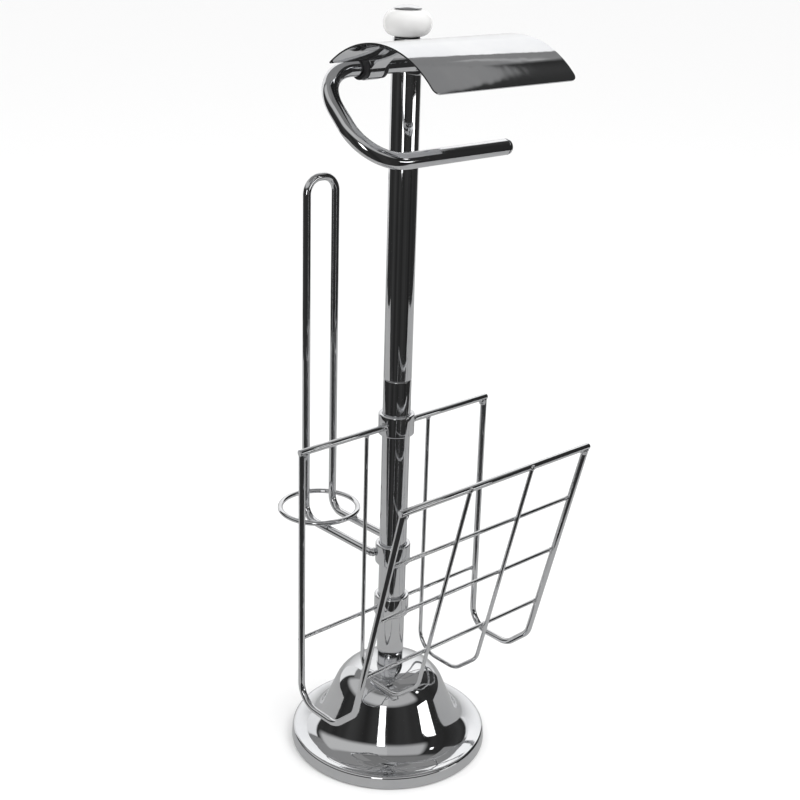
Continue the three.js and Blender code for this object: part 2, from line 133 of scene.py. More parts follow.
COLLAR_RADIUS = 13.2
COLLAR_HEIGHT = 16
SET_SCREW_RADIUS = 2
SET_SCREW_SOCKET = {"across": 1.6, "depth": 1.2}


# ---- Material nodes -----------------------------------------------------------------------------


class Shader:
    """A node material with short calls for the nodes that the finishes share."""

    def __init__(self, name):
        self.material = bpy.data.materials.new(name)
        self.material.use_nodes = True
        self.nodes = self.material.node_tree.nodes
        self.links = self.material.node_tree.links
        self.surface = self.nodes["Principled BSDF"]
        self.place = self.nodes.new("ShaderNodeTexCoord").outputs["Object"]

    def set(self, **values):
        for name, value in values.items():
            self.surface.inputs[name.replace("_", " ")].default_value = value

    def join(self, source, name):
        self.links.new(source, self.surface.inputs[name])

    def stretched(self, x, y, z):
        """Object coordinates in metres, scaled by axis."""
        node = self.nodes.new("ShaderNodeMapping")
        node.inputs["Scale"].default_value = (x, y, z)
        self.links.new(self.place, node.inputs["Vector"])
        return node.outputs["Vector"]

    def noise(self, scale, detail, roughness=0.55, place=None):
        node = self.nodes.new("ShaderNodeTexNoise")
        node.inputs["Scale"].default_value = scale
        node.inputs["Detail"].default_value = detail
        node.inputs["Roughness"].default_value = roughness
        self.links.new(place or self.place, node.inputs["Vector"])
        return node.outputs["Fac"]

    def cells(self, scale):
        node = self.nodes.new("ShaderNodeTexVoronoi")
        node.inputs["Scale"].default_value = scale
        self.links.new(self.place, node.inputs["Vector"])
        return node.outputs["Distance"]

    def span(self, source, low, high, start=0.0, end=1.0):
        """A value from low..high spread over start..end."""
        node = self.nodes.new("ShaderNodeMapRange")
        node.inputs["From Min"].default_value = low
        node.inputs["From Max"].default_value = high
        node.inputs["To Min"].default_value = start
        node.inputs["To Max"].default_value = end
        self.links.new(source, node.inputs["Value"])
        return node.outputs["Result"]

    def sum(self, a, b):
        node = self.nodes.new("ShaderNodeMath")
        node.operation = "ADD"
        self.links.new(a, node.inputs[0])
        self.links.new(b, node.inputs[1])
        return node.outputs[0]

    def blend(self, factor, first, second):
        """One colour turning into another; a Mix node tells its colour sockets by number only."""
        factor_in, first_in, second_in, colour_out = 0, 6, 7, 2
        node = self.nodes.new("ShaderNodeMix")
        node.data_type = "RGBA"
        self.links.new(factor, node.inputs[factor_in])
        node.inputs[first_in].default_value = (*first, 1)
        node.inputs[second_in].default_value = (*second, 1)
        return node.outputs[colour_out]

    def relief(self, height, microns, under=None):
        """A bump of a depth in microns, on top of another."""
        node = self.nodes.new("ShaderNodeBump")
        node.inputs["Strength"].default_value = 1.0
        node.inputs["Distance"].default_value = microns * MICRON
        self.links.new(height, node.inputs["Height"])
        if under:
            self.links.new(under, node.inputs["Normal"])
        return node.outputs["Normal"]


def polished_chrome():
    """Bright plate over a buffed steel: slow waves, fine buffing lines, faint smears."""
    made = Shader("polished_chrome")
    made.set(Metallic=1.0)
    clean = (0.80, 0.805, 0.815)
    smeared = (0.70, 0.71, 0.73)
    smear = made.span(made.noise(scale=14, detail=4, roughness=0.6), 0.42, 0.72)
    made.join(made.blend(smear, clean, smeared), "Base Color")
    buffed = made.stretched(900, 900, 5200)
    lines = made.noise(scale=1, detail=2, roughness=0.6, place=buffed)
    line_rough = made.span(lines, 0.35, 0.75, 0.0, 0.03)
    smear_rough = made.span(smear, 0, 1, 0.028, 0.065)
    made.join(made.sum(smear_rough, line_rough), "Roughness")
    waves = made.relief(made.noise(scale=45, detail=2, roughness=0.5), microns=90)
    made.join(made.relief(lines, microns=1.2, under=waves), "Normal")
    return made.material


def zinc_plate():
    """Clear zinc on a turned screw: a mottled grey with a satin face."""
    made = Shader("zinc_plate")
    made.set(Metallic=1.0)
    dull = (0.42, 0.44, 0.46)
    bright = (0.66, 0.68, 0.69)
    mottle = made.noise(scale=700, detail=4, roughness=0.65)
    made.join(made.blend(mottle, dull, bright), "Base Color")
    made.join(made.span(mottle, 0.3, 0.7, 0.28, 0.5), "Roughness")
    made.join(made.relief(made.cells(scale=2600), microns=20), "Normal")
    return made.material


def painted_iron():
    """A sand casting dipped in black paint."""
    made = Shader("painted_iron")
    hollow = (0.012, 0.012, 0.013)
    crest = (0.045, 0.042, 0.040)
    sand = made.noise(scale=420, detail=8, roughness=0.7)
    made.join(made.blend(sand, hollow, crest), "Base Color")
    made.join(made.span(sand, 0.3, 0.7, 0.5, 0.8), "Roughness")
    made.join(made.relief(sand, microns=400), "Normal")
    return made.material


def black_nylon():
    """Moulded nylon with a fine spark-eroded grain."""
    made = Shader("black_nylon")
    black = (0.008, 0.008, 0.009)
    grey = (0.022, 0.022, 0.024)
    grain = made.noise(scale=2400, detail=3, roughness=0.6)
    made.join(made.blend(grain, black, grey), "Base Color")
    made.join(made.span(grain, 0.3, 0.7, 0.32, 0.5), "Roughness")
    made.join(made.relief(grain, microns=30), "Normal")
    return made.material


def dark_rubber():
    """Moulded rubber, chalky where it has been handled."""
    made = Shader("dark_rubber")
    black = (0.012, 0.012, 0.012)
    chalky = (0.05, 0.05, 0.052)
    bloom = made.noise(scale=60, detail=5, roughness=0.65)
    made.join(made.blend(bloom, black, chalky), "Base Color")
    made.join(made.span(bloom, 0.3, 0.7, 0.68, 0.9), "Roughness")
    skin_grain = made.noise(scale=1800, detail=4, roughness=0.6)
    made.join(made.relief(skin_grain, microns=60), "Normal")
    return made.material


def white_glaze():
    """A thick white glaze, a shade warmer where it has run thin."""
    made = Shader("white_glaze")
    made.set(Coat_Weight=0.6, Coat_Roughness=0.04)
    thick = (0.80, 0.80, 0.80)
    thin = (0.76, 0.75, 0.735)
    pool = made.noise(scale=55, detail=3, roughness=0.5)
    made.join(made.blend(pool, thick, thin), "Base Color")
    made.join(made.span(pool, 0.3, 0.7, 0.1, 0.2), "Roughness")
    ripple = made.noise(scale=260, detail=2, roughness=0.5)
    made.join(made.relief(ripple, microns=20), "Normal")
    return made.material


FINISHES = {
    "chrome": polished_chrome(),
    "zinc_steel": zinc_plate(),
    "cast_iron": painted_iron(),
    "black_nylon": black_nylon(),
    "rubber": dark_rubber(),
    "ceramic": white_glaze(),
}
SLOT_OF = {part["node"]: part["material_slot"] for part in frame["record"]["subparts"]}
BODY_OF = {
    node: body for body, nodes in frame["record"]["behaviour"]["bodies"].items() for node in nodes
}

for name, node in frame["nodes"].items():
    node.data.materials.clear()
    node.data.materials.append(FINISHES[SLOT_OF[name]])


# ---- Mesh making --------------------------------------------------------------------------------

POINT_SIZE = 1e-6  # a ring with a smaller radius is a single point
ALONG_X = Matrix.Rotation(math.pi / 2, 4, "Y")
ALONG_Y = Matrix.Rotation(-math.pi / 2, 4, "X")


def vectors(*rows):
    return [Vector(row) for row in rows]


def at(x, y, z):
    return Matrix.Translation((x, y, z))


def pointing(centre, heading):
    """A turn of Z to a heading, then a move to a centre."""
    turn = UP.rotation_difference(Vector(heading).normalized()).to_matrix().to_4x4()
    return Matrix.Translation(centre) @ turn


def eased(corners, radius, steps=6, closed=False):
    """A line through corners, each rounded to the radius or to what its sides leave room for."""
    corners = vectors(*corners)
    line = []
    for i, corner in enumerate(corners):
        if not closed and i in (0, len(corners) - 1):
            line.append(corner)
            continue
        back = corners[i - 1] - corner
        on = corners[(i + 1) % len(corners)] - corner
        half = back.angle(on) / 2
        room = 0.49 * min(back.length, on.length)
        reach = min(radius / math.tan(half), room)
        start = back.normalized()
        end = on.normalized()
        bend = reach * math.tan(half)
        centre = corner + (start + end).normalized() * (bend / math.sin(half))
        first = (corner + start * reach - centre) / bend
        last = (corner + end * reach - centre) / bend
        line += [centre + bend * first.slerp(last, k / steps) for k in range(steps + 1)]
    return line


def curve(p0, p1, p2, p3, steps):
    """Points of a cubic curve, without its first point."""
    points = []
    for k in range(1, steps + 1):
        t = k / steps
        s = 1 - t
        weights = (s**3, 3 * s * s * t, 3 * s * t * t, t**3)
        shares = [weight * Vector(p) for weight, p in zip(weights, (p0, p1, p2, p3))]
        points.append(sum(shares, Vector((0, 0))))
    return points


def skin(rings, closed=False):
    """Faces between rings of vertex numbers; a ring that is one point repeated makes triangles."""
    faces = []
    following = rings[1:] + rings[:1] if closed else rings[1:]
    for low, high in zip(rings, following):
        count = len(low)
        for i in range(count):
            j = (i + 1) % count
            face = list(dict.fromkeys((low[i], low[j], high[j], high[i])))
            if len(face) > 2:
                faces.append(face)
    return faces


def turned(profile, segments=128, closed=False):
    """Vertices and faces of a (radius, z) profile turned about Z."""
    points = []
    rings = []
    for radius, z in profile:
        start = len(points)
        if radius < POINT_SIZE:
            points.append(Vector((0, 0, z)))
            rings.append([start] * segments)
            continue
        for i in range(segments):
            angle = math.tau * i / segments
            points.append(Vector((radius * math.cos(angle), radius * math.sin(angle), z)))
        rings.append(list(range(start, start + segments)))
    return points, skin(rings, closed)


def rounded_end(radius, ease, steps=5):
    """(advance, radius) steps from a wire's full width to the middle of its end."""
    arc = [math.pi / 2 * k / steps for k in range(steps + 1)]
    rounded = [(ease * (math.sin(a) - 1), radius - ease * (1 - math.cos(a))) for a in arc]
    return rounded + [(0, 0)]


def swept(line, radius, sides=32, ease=0.5):
    """Vertices and faces of a round wire along a line, its ends eased over by a little."""
    line = vectors(*line)
    headings = [(b - a).normalized() for a, b in zip(line, line[1:])]
    tangents = [headings[0]]
    tangents += [(a + b).normalized() for a, b in zip(headings, headings[1:])]
    tangents.append(headings[-1])
    side = tangents[0].orthogonal().normalized()
    cap = rounded_end(radius, ease)
    first, last = tangents[0], tangents[-1]
    stations = [(line[0] - first * advance, first, size) for advance, size in reversed(cap)]
    stations += [(point, heading, radius) for point, heading in zip(line[1:-1], tangents[1:-1])]
    stations += [(line[-1] + last * advance, last, size) for advance, size in cap]
    points = []
    rings = []
    previous = tangents[0]
    for centre, heading, size in stations:
        side = previous.rotation_difference(heading) @ side
        across = heading.cross(side)
        previous = heading
        start = len(points)
        if size < POINT_SIZE:
            points.append(centre)
            rings.append([start] * sides)
            continue
        for i in range(sides):
            angle = math.tau * i / sides
            points.append(centre + size * (math.cos(angle) * side + math.sin(angle) * across))
        rings.append(list(range(start, start + sides)))
    return points, skin(rings)


def placed(shape, matrix):
    points, faces = shape
    return [matrix @ point for point in points], faces


def merged(*shapes):
    """Several shapes as one list of vertices and faces."""
    points = []
    faces = []
    for shape_points, shape_faces in shapes:
        start = len(points)
        points += shape_points
        faces += [[start + i for i in face] for face in shape_faces]
    return points, faces


def piece(name, shape, *nodes, slot=None, body=None):
    """A finished piece in place of CAD nodes, with their body and their finish."""
    points, faces = shape
    mesh = bpy.data.meshes.new(name)
    mesh.from_pydata([point * MM for point in points], [], faces)
    form = bmesh.new()
    form.from_mesh(mesh)
    bmesh.ops.recalc_face_normals(form, faces=form.faces)
    form.to_mesh(mesh)
    form.free()
    mesh.polygons.foreach_set("use_smooth", [True] * len(mesh.polygons))
    mesh.set_sharp_from_angle(angle=SHARP_ANGLE)
    slot = slot or SLOT_OF[nodes[0]]
    mesh.materials.append(FINISHES[slot])
    made = bpy.data.objects.new(name, mesh)
    scene.collection.objects.link(made)
    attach(made, body or BODY_OF[nodes[0]])
    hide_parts(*nodes)
    return made


def tube(inner, outer, bottom, top, ease=0.4):
    """A tube along Z with its four edges eased."""
    corners = [(inner, bottom), (outer, bottom), (outer, top), (inner, top)]
    return turned(eased(corners, ease, 4, closed=True), 96, closed=True)


def socket_screw(radius, top, bottom, across, depth, dome=0.0, rim=0.3):
    """A screw end standing on Z with a hexagon socket in its top."""
    sides = 36
    turns = [math.tau * i / sides for i in range(sides)]
    sixth = math.pi / 6
    flat = across / math.sqrt(3) * math.cos(sixth)

    def circle(size, z):
        return [Vector((size * math.cos(turn), size * math.sin(turn), z)) for turn in turns]

    def hexagon(z):
        ring = []
        for turn in turns:
            reach = flat / math.cos((turn + sixth) % (2 * sixth) - sixth)
            ring.append(Vector((reach * math.cos(turn), reach * math.sin(turn), z)))
        return ring

    chamfer = 0.3 * rim
    mouth = top + dome
    socket_floor = mouth - depth
    drill_point = 0.3
    loops = [
        circle(radius, bottom),
        circle(radius, top - rim),
        circle(radius - chamfer, top - chamfer),
        circle(radius - rim, top),
        circle(0.72 * radius, top + 0.75 * dome),
        hexagon(mouth),
        hexagon(socket_floor),
    ]
    points = [point for loop in loops for point in loop]
    rings = [list(range(k * sides, (k + 1) * sides)) for k in range(len(loops))]
    points += vectors((0, 0, bottom), (0, 0, socket_floor - drill_point))
    rings = [[len(points) - 2] * sides, *rings, [len(points) - 1] * sides]
    return points, skin(rings)


# ---- Base ---------------------------------------------------------------------------------------


def bell_outline():
    """The outside of the bell from the rim up to the edge of its top."""
    line = [Vector((BASE_RADIUS - 0.6, RIM_BOTTOM_Z))]

    def on(p1, p2, p3, steps):
        line.extend(curve(line[-1], p1, p2, p3, steps))

    # The rim's turn at the floor, its side and its top edge.
    on((BASE_RADIUS - 0.2, RIM_BOTTOM_Z), (BASE_RADIUS, 1.2), (BASE_RADIUS, 2), 5)
    line.append(Vector((BASE_RADIUS - 0.5, 8.1)))
    on((BASE_RADIUS - 0.7, 9.9), (74.4, 10.8), (72.6, 10.8), 12)
    # The flare, the steep side, and the shoulder with the flat top.
    on((66, 10.8), (57.5, 13.8), (52.3, 24), 32)
    on((49.6, 29.5), (45.5, 39), (41.6, 48.4), 14)
    on((37.3, 57.4), (28, BELL_TOP_Z), (12.5, BELL_TOP_Z), 20)
    return line


def inset(line, distance):
    """A profile moved to the left of its direction."""
    moved = []
    for i, point in enumerate(line):
        run = line[min(i + 1, len(line) - 1)] - line[max(i - 1, 0)]
        moved.append(point + Vector((-run.y, run.x)).normalized() * distance)
    return moved


def build_base():
    outside = bell_outline()
    rim_turn = 6  # the first points go round the rim's rolled edge, which has no inside
    inside = inset(outside[rim_turn:], SHELL_WALL)
    lid = vectors((BOLT_HOLE, BELL_TOP_Z), (BOLT_HOLE, BELL_TOP_Z - SHELL_WALL))
    piece("fine_base_shell", turned(outside + lid + inside[::-1], 256, closed=True), "base_shell")

    # The pad's underside has rings that grip the floor.
    groove_z = 0.5
    foot = 2.4  # half of a ring's width on the floor
    root = 3.2  # and where it leaves the pad
    pad = [(0, groove_z)]
    for middle in (14, 24.5, 35, 45.5, 56, 66.5):
        pad += [(middle - root, groove_z), (middle - foot, 0)]
        pad += [(middle + foot, 0), (middle + root, groove_z)]
    pad += [(PAD_RADIUS - 0.8, groove_z), (PAD_RADIUS, 0.9), (PAD_RADIUS, PAD_THICKNESS - 0.3)]
    pad += [(PAD_RADIUS - 0.3, PAD_THICKNESS), (0, PAD_THICKNESS)]
    piece("fine_base_pad", turned(pad, 128), "base_pad")


# ---- Pole and knob ------------------------------------------------------------------------------


def build_pole():
    foot = BELL_TOP_Z + GAP
    inner = POLE_RADIUS - POLE_WALL
    ease = 0.5
    lower = tube(inner, POLE_RADIUS, foot, POLE_JOINT_Z - GAP / 2, ease)
    upper = tube(inner, POLE_RADIUS, POLE_JOINT_Z + GAP / 2, POLE_TOP_Z, ease)
    piece("fine_lower_pole", lower, "lower_pole")
    piece("fine_upper_pole", upper, "upper_pole")


def build_neck():
    """The chrome plug in the pole's top, which shows as the knob's neck."""
    plug_radius = 8.7
    plug_foot = POLE_TOP_Z - 7
    neck_foot = POLE_TOP_Z + GAP
    neck_top = KNOB_BOTTOM_Z - 1
    profile = [
        (KNOB_BORE, plug_foot),
        (plug_radius, plug_foot),
        (plug_radius, neck_foot),
        (NECK_RADIUS, neck_foot),
        (NECK_RADIUS, neck_top),
        (KNOB_BORE, neck_top),
    ]
    neck = turned(eased(profile, 0.35, 4, closed=True), 96, closed=True)
    piece("fine_pole_top_plug", neck, "pole_top_plug")


def build_knob():
    middle = (KNOB_BOTTOM_Z + KNOB_TOP_Z) / 2
    flat = 8  # the radius of its flat top and bottom
    shoulder = 13.5  # how far its curves run out before they turn
    swell = 4  # how soon they turn upright
    low = ((shoulder, KNOB_BOTTOM_Z), (KNOB_RADIUS, KNOB_BOTTOM_Z + swell), (KNOB_RADIUS, middle))
    high = ((KNOB_RADIUS, KNOB_TOP_Z - swell), (shoulder, KNOB_TOP_Z), (flat, KNOB_TOP_Z))
    side = [Vector((flat, KNOB_BOTTOM_Z))]
    side += curve(side[-1], *low, 20)
    side += curve(side[-1], *high, 20)
    bore = vectors((KNOB_BORE, KNOB_TOP_Z), (KNOB_BORE, KNOB_BOTTOM_Z))
    piece("fine_knob", turned(side + bore, 128, closed=True), "knob")


def build_knob_cap():
    """The domed head of the screw that holds the knob."""
    foot = POLE_TOP_Z - 5
    seat = KNOB_TOP_Z + GAP
    top = seat + CAP_HEIGHT
    screw = vectors((0, foot), (KNOB_SCREW_RADIUS, foot), (KNOB_SCREW_RADIUS, seat))
    screw += vectors((9.3, seat), (9.6, seat + 0.2), (9.55, seat + 0.5))
    screw += curve(screw[-1], (9.5, seat + 0.7), (9.3, seat + 0.8), (9, seat + 0.92), 6)
    screw += curve(screw[-1], (6.5, seat + 1.92), (3.2, top), (0, top), 16)
    piece("fine_knob_cap_screw", turned(screw, 96), "knob_cap_screw")


# ---- Roll arm and its bracket -------------------------------------------------------------------


def build_arm():
    upper = ARM_UPPER
    lower = ARM_LOWER
    corners = [
        (ARM_UPPER_END_X, upper.y, upper.z),
        (ARM_LEFT_X, upper.y, upper.z),
        (ARM_LEFT_X, lower.y, lower.z),
        (ARM_LOWER_END_X, lower.y, lower.z),
    ]
    line = eased(corners, ARM_BEND_RADIUS, 40)
    piece("fine_roll_arm", swept(line, ARM_RADIUS, 64, 0.4), "roll_arm")

    # Each end has a domed cap on a spigot.
    spigot = ARM_RADIUS - ARM_WALL
    spigot_depth = 8
    edge = 0.3
    top = 4.5
    profile = vectors((0, -spigot_depth), (spigot, -spigot_depth), (spigot, GAP))
    profile += vectors((ARM_RADIUS - edge, GAP), (ARM_RADIUS, GAP + edge), (ARM_RADIUS, 1.4))
    profile += curve(profile[-1], (ARM_RADIUS, 3.2), (3.1, top), (0, top), 14)
    ends = {"arm_tip_cap": (ARM_LOWER_END_X, lower), "arm_root_cap": (ARM_UPPER_END_X, upper)}
    for node, (end_x, leg) in ends.items():
        cap = placed(turned(profile, 64), at(end_x, leg.y, leg.z) @ ALONG_X)
        piece(f"fine_{node}", cap, node)


def prism_along_x(outline, width, ease):
    """A closed (y, z) outline extruded to both sides of X = 0, with its end edges eased."""
    middle = sum(outline, Vector((0, 0))) / len(outline)
    half = width / 2
    steps = [math.pi / 2 * k / 4 for k in range(5)]
    ends = [(-half + ease * (1 - math.sin(a)), ease * (1 - math.cos(a))) for a in reversed(steps)]
    stations = ends + [(-x, pull) for x, pull in reversed(ends)]
    points = []
    rings = []
    for x, pull in stations:
        start = len(points)
        for corner in outline:
            inward = (middle - corner).normalized() * pull
            points.append(Vector((x, corner.x + inward.x, corner.y + inward.y)))
        rings.append(list(range(start, start + len(outline))))
    faces = skin(rings)
    faces += [rings[0], rings[-1]]
    return points, faces


def build_arm_bracket():
    nose = 8.2
    back_y = -8.4
    width = 18
    edge = 0.9
    y = ARM_UPPER.y
    z = ARM_UPPER.z
    turns = [math.pi / 2 + math.pi * k / 40 for k in range(41)]
    outline = [Vector((y + nose * math.cos(t), z + nose * math.sin(t))) for t in turns]
    outline += vectors((back_y, z - nose), (back_y, z + nose))
    piece("fine_arm_bracket", prism_along_x(outline, width, edge), "arm_bracket")

    seat = POLE_RADIUS + GAP
    head_radius = 4.6
    head_side = 1.4
    in_pole = 3
    head = socket_screw(
        head_radius, seat + head_side, seat - in_pole, across=3.0, depth=1.8, dome=1.4, rim=0.5
    )
    piece("fine_bracket_screw", placed(head, at(0, 0, z) @ ALONG_Y), "bracket_screw")
    down = Matrix.Rotation(math.pi, 4, "X")
    set_screw_ends = (8.5, 5.6)
    set_screw = socket_screw(SET_SCREW_RADIUS, *set_screw_ends, **SET_SCREW_SOCKET)
    piece("fine_bracket_set_screw", placed(set_screw, at(0, y, z) @ down), "bracket_set_screw")


# ---- Hood ---------------------------------------------------------------------------------------


def rolled_sheet(left, right, outer, thickness, back_y, front_y, corner, rows=120, columns=24):
    """A sheet rolled to an arc about the hood's centre, with two rounded corners at its front."""
    rim = 0.2  # a row or column of vertices this far from every edge keeps the edge crisp
    back = math.acos((back_y - HOOD_CENTRE.y) / outer)
    front = math.acos((front_y - HOOD_CENTRE.y) / outer)
    length = (front - back) * outer
    runs = [0, rim] + [length * k / rows for k in range(1, rows)] + [length - rim, length]
    runs += [length - corner * (1 - math.sin(math.pi / 2 * k / 9)) for k in range(9)]
    runs = sorted(set(round(run, 4) for run in runs))
    middle = (left + right) / 2
    points = []
    for radius in (outer, outer - thickness):
        for run in runs:
            angle = back + run / outer
            into = max(0, corner - (length - run))
            cut = corner - math.sqrt(max(corner * corner - into * into, 0))
            half = (right - left) / 2 - cut
            spread = [-1, -1 + rim / half] + [-1 + 2 * k / columns for k in range(1, columns)]
            spread += [1 - rim / half, 1]
            y = HOOD_CENTRE.y + radius * math.cos(angle)
            z = HOOD_CENTRE.z + radius * math.sin(angle)
            points += [Vector((middle + half * s, y, z)) for s in spread]
    wide = columns + 3
    deep = len(runs)
    faces = []
    for layer in (0, 1):
        for i in range(deep - 1):
            for j in range(wide - 1):
                k = layer * wide * deep + i * wide + j
                faces.append([k, k + 1, k + wide + 1, k + wide])
    edge = list(range(wide))
    edge += [i * wide + wide - 1 for i in range(1, deep)]
    edge += [(deep - 1) * wide + j for j in range(wide - 2, -1, -1)]
    edge += [i * wide for i in range(deep - 2, 0, -1)]
    under = [k + wide * deep for k in edge]
    faces += skin([edge, under])
    return points, faces


def soften(made, width):
    """Rounds a piece's sharp edges and keeps its broad faces true."""
    bevel = made.modifiers.new("eased_edges", "BEVEL")
    bevel.width = width * MM
    bevel.segments = 3
    bevel.limit_method = "ANGLE"
    bevel.angle_limit = SHARP_ANGLE
    made.modifiers.new("true_faces", "WEIGHTED_NORMAL").keep_sharp = True


def on_upper_leg(x, shape):
    """A shape turned about Z, moved on to the arm's upper leg."""
    return placed(shape, at(x, ARM_UPPER.y, ARM_UPPER.z) @ ALONG_X)


def build_hood():
    sheet = rolled_sheet(
        HOOD_LEFT_X, HOOD_RIGHT_X, HOOD_RADIUS, HOOD_SHEET, HOOD_BACK_Y, HOOD_FRONT_Y, HOOD_CORNER
    )
    soften(piece("fine_hood", sheet, "hood"), 0.35)

    play = 0.1
    half = CLIP_WIDTH / 2
    strap_radius = HOOD_RADIUS - HOOD_SHEET - 0.05
    strap_corner = 2
    back_y = ARM_UPPER.y - CLIP_OUTER + 0.8
    for side, x in CLIP_XS.items():
        place = (x - half, x + half, strap_radius, CLIP_SHEET, back_y, CLIP_FRONT_Y)
        strap = rolled_sheet(*place, strap_corner, rows=24, columns=4)
        ring = on_upper_leg(x, tube(CLIP_BORE + play, CLIP_OUTER, -half, half))
        soften(piece(f"fine_hood_clip_{side}", merged(strap, ring), f"hood_clip_{side}"), 0.25)
        bush_half = half + 0.2
        bush = tube(ARM_RADIUS + play, CLIP_BORE, -bush_half, bush_half, 0.3)
        piece(f"fine_hinge_bush_{side}", on_upper_leg(x, bush), f"hinge_bush_{side}")

    reach = half + STOP_COLLAR_HALF + GAP
    for node, sign in (("stop_collar_left", -1), ("stop_collar_centre", 1)):
        ring = tube(ARM_RADIUS + 0.05, STOP_COLLAR_RADIUS, -STOP_COLLAR_HALF, STOP_COLLAR_HALF, 0.5)
        piece(f"fine_{node}", on_upper_leg(CLIP_XS["left"] + sign * reach, ring), node)


# ---- Collars on the pole ------------------------------------------------------------------------


def build_collar(node, z):
    half = COLLAR_HEIGHT / 2
    bore = POLE_RADIUS + 0.05
    ring = tube(bore, COLLAR_RADIUS, z - half, z + half, ease=1.0)
    piece(f"fine_{node}", ring, node)
    proud = 0.6
    ends = (COLLAR_RADIUS + proud, POLE_RADIUS + GAP)
    screw = socket_screw(SET_SCREW_RADIUS, *ends, **SET_SCREW_SOCKET)
    piece(f"fine_{node}_screw", placed(screw, at(0, 0, z) @ ALONG_Y), f"{node}_screw")


# ---- Welds --------------------------------------------------------------------------------------


def bead(centre, heading, wire):
    """A weld's small uneven collar where a wire runs into another along a heading."""
    profile = [(0, -1.9), (0.98, -1.5), (1.06, -0.9), (1.24, -0.35)]
    profile += [(1.32, 0.1), (1.05, 0.6), (0, 0.8)]
    profile = [(radius * wire, z * wire) for radius, z in profile]
    points, faces = turned(eased(profile, 0.5 * wire, 3), 20)
    uneven = []
    for k, point in enumerate(points):
        swell = 1 + 0.07 * math.sin(2.1 * k + centre[0]) * math.cos(0.7 * k + centre[2])
        uneven.append(Vector((point.x * swell, point.y * swell, point.z)))
    return placed((uneven, faces), pointing(centre, heading))


def spot(centre, across, radius):
    """A spot weld's small pressed lump between two crossing wires."""
    profile = [(0, -1), (0.55, -0.85), (0.95, -0.35), (0.95, 0.35), (0.55, 0.85), (0, 1)]
    profile = [(size * radius, z * radius) for size, z in profile]
    return placed(turned(profile, 16), pointing(centre, across))


# ---- Spare-roll loop ----------------------------------------------------------------------------


def build_spare_roll_loop():
    end_y = 8.4
    top_z = LOOP_TOP_Z - LOOP_WIRE
    corners = [
        (-LOOP_LEG_X, end_y, LOOP_ARM_Z),
        (-LOOP_LEG_X, LOOP_Y, LOOP_ARM_Z),
        (-LOOP_LEG_X, LOOP_Y, top_z),
        (LOOP_LEG_X, LOOP_Y, top_z),
        (LOOP_LEG_X, LOOP_Y, LOOP_ARM_Z),
        (LOOP_LEG_X, end_y, LOOP_ARM_Z),
    ]
    line = eased(corners, LOOP_BEND_RADIUS, 30)
    piece("fine_spare_roll_loop", swept(line, LOOP_WIRE, 48, 0.8), "spare_roll_loop")

    ring_z = LOOP_ARM_Z + LOOP_WIRE + REST_WIRE
    section = [math.tau * k / 24 for k in range(24)]
    round_wire = [(REST_WIRE * math.cos(t), REST_WIRE * math.sin(t)) for t in section]
    profile = [(REST_RING + across, ring_z + up) for across, up in round_wire]
    ring = placed(turned(profile, 128, closed=True), at(0, LOOP_Y, 0))
    piece("fine_spare_roll_rest", ring, "spare_roll_rest")
    build_collar("loop_collar", LOOP_ARM_Z)

    crossing = LOOP_Y - math.sqrt(REST_RING**2 - LOOP_LEG_X**2)
    rest_spot = 2.2
    joint_x = 12.2
    joint_y = 8.2
    joint_size = 2.6
    welds = []
    for side in (-1, 1):
        inward = (-side * 0.5, -1, 0)
        welds.append(spot((side * LOOP_LEG_X, crossing, LOOP_ARM_Z + LOOP_WIRE), UP, rest_spot))
        welds.append(bead((side * joint_x, joint_y, LOOP_ARM_Z), inward, joint_size))
    piece("loop_welds", merged(*welds), slot="chrome", body="stand")


# ---- Magazine rack ------------------------------------------------------------------------------

FRONT_SLOPE = (RACK_FRONT_FOOT.y - RACK_FRONT_TOP.y) / (RACK_FRONT_FOOT.z - RACK_FRONT_TOP.z)
GRID_PROUD = GRID_WIRE + GAP / 2  # from the middle of two crossing grid wires to each one's middle
TO_BACK = (0, 1, 0)


def front_y(z):
    """The y of the rack's front at a height."""
    return RACK_FRONT_TOP.y + (z - RACK_FRONT_TOP.z) * FRONT_SLOPE


def rack_wire(x, radius, proud, top_z, back_top_z, sides):
    corners = [
        (x, front_y(top_z) - proud, top_z),
        (x, RACK_FRONT_FOOT.y - proud, RACK_FRONT_FOOT.z),
        (x, RACK_FLOOR.y - proud / 2, RACK_FLOOR.z),
        (x, RACK_BACK_Y, RACK_FLOOR.z),
        (x, RACK_BACK_Y, back_top_z),
    ]
    return swept(eased(corners, RACK_BEND_RADIUS, 16), radius, sides, 0.6)


def straight_wire(name, start, end, radius, sides):
    """A straight wire of the rack, which stands for the CAD node of the same name."""
    piece(f"fine_{name}", swept([start, end], radius, sides), name)


